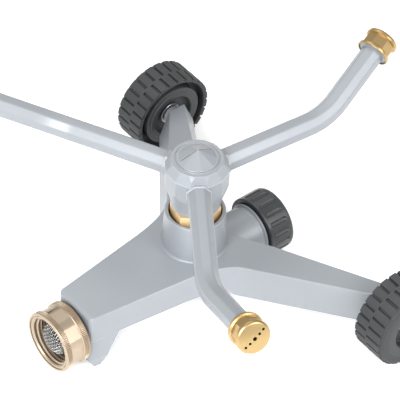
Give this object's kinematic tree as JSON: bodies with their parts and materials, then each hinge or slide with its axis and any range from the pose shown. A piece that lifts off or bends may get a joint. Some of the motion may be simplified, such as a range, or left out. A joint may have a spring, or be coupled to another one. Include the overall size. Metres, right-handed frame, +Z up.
{
  "type": "rotary lawn sprinkler",
  "caption": "Three-arm rotary lawn sprinkler: bent spinning arms with brass nozzle caps on a wheeled cast base, with a brass hose swivel in front and a capped outlet behind.",
  "frame": {"origin": "centre of the front foot's flat pad, on the ground plane, under the hose inlet", "axes": "+Z up, +Y from the hose inlet towards the capped outlet, +X from the left wheel to the right wheel; the rotor turns about a vertical axis 75.1 mm behind the origin"},
  "size_m": [0.2413, 0.2343, 0.1113],
  "materials": {
    "silver_paint": "smooth satin silver-grey enamel on a die casting",
    "coupling_brass": "pale machined brass, fine turning marks",
    "gold_brass": "golden polished brass",
    "cap_plastic": "dark grey moulded plastic, satin",
    "tyre_rubber": "dark grey moulded tread",
    "wheel_plastic": "dark grey moulded plastic, matt",
    "steel": "zinc plated steel",
    "mesh_steel": "woven stainless wire",
    "black_rubber": "black washer rubber",
    "white_nylon": "natural nylon"
  },
  "bodies": {
    "base": {"base_casting": "silver_paint", "inlet_stem": "coupling_brass", "inlet_stem_seal": "black_rubber", "pivot_stem": "gold_brass", "stem_gasket": "black_rubber", "lower_thrust_washer": "white_nylon", "upper_thrust_washer": "white_nylon", "retaining_nut": "coupling_brass", "right_axle_pin": "steel", "left_axle_pin": "steel", "right_axle_washer": "steel", "left_axle_washer": "steel", "right_outer_washer": "steel", "left_outer_washer": "steel"},
    "hose_swivel": {"inlet_coupling": "coupling_brass", "inlet_washer": "black_rubber", "inlet_screen": "mesh_steel"},
    "outlet_cap_travel": {"outlet_cap_washer": "black_rubber"},
    "outlet_cap": {"outlet_cap": "cap_plastic"},
    "rotor": {"rotor_hub": "silver_paint", "rotor_bushing": "white_nylon", "rotor_top_cap": "silver_paint", "top_cap_seal": "black_rubber", "arm_1": "silver_paint", "arm_2": "silver_paint", "arm_3": "silver_paint", "arm_seal_1": "black_rubber", "arm_seal_2": "black_rubber", "arm_seal_3": "black_rubber"},
    "nozzle_cap_1": {"nozzle_1": "gold_brass", "nozzle_washer_1": "black_rubber"},
    "nozzle_cap_2": {"nozzle_2": "gold_brass", "nozzle_washer_2": "black_rubber"},
    "nozzle_cap_3": {"nozzle_3": "gold_brass", "nozzle_washer_3": "black_rubber"},
    "right_wheel": {"right_tyre": "tyre_rubber", "right_wheel_hub": "wheel_plastic"},
    "left_wheel": {"left_tyre": "tyre_rubber", "left_wheel_hub": "wheel_plastic"}
  },
  "joints": [
    {"name": "rotor_spin", "type": "hinge", "parent": "base", "child": "rotor", "pos_m": [0, 0.0751, 0.087], "axis": [0, 0, 1], "continuous": true},
    {"name": "hose_swivel_turn", "type": "hinge", "parent": "base", "child": "hose_swivel", "pos_m": [0, -0.0144, 0.0203], "axis": [0, 1, 0], "continuous": true},
    {"name": "outlet_cap_unscrew_travel", "type": "slide", "parent": "base", "child": "outlet_cap_travel", "axis": [0, 1, 0], "range_m": [0, 0.0089]},
    {"name": "outlet_cap_turn", "type": "hinge", "parent": "outlet_cap_travel", "child": "outlet_cap", "pos_m": [0, 0.1236, 0.0203], "axis": [0, 1, 0], "range_deg": [0, 1440]},
    {"name": "nozzle_1_turn", "type": "hinge", "parent": "rotor", "child": "nozzle_cap_1", "pos_m": [0.12006, 0.01381, 0.10345], "axis": [0.9142, -0.2454, 0.3224], "range_deg": [-90, 90]},
    {"name": "nozzle_2_turn", "type": "hinge", "parent": "rotor", "child": "nozzle_cap_2", "pos_m": [-0.00695, 0.20972, 0.10345], "axis": [-0.2446, 0.9144, 0.3224], "range_deg": [-90, 90]},
    {"name": "nozzle_3_turn", "type": "hinge", "parent": "rotor", "child": "nozzle_cap_3", "pos_m": [-0.11311, 0.00177, 0.10345], "axis": [-0.6696, -0.6691, 0.3224], "range_deg": [-90, 90]},
    {"name": "right_wheel_spin", "type": "hinge", "parent": "base", "child": "right_wheel", "pos_m": [0.1014, 0.1344, 0.0246], "axis": [1, 0, 0], "continuous": true},
    {"name": "left_wheel_spin", "type": "hinge", "parent": "base", "child": "left_wheel", "pos_m": [-0.1014, 0.1344, 0.0246], "axis": [1, 0, 0], "continuous": true}
  ],
  "couplings": [
    {"joint": "outlet_cap_unscrew_travel", "follows": "outlet_cap_turn", "m_per_rad": 0.00035157}
  ]
}
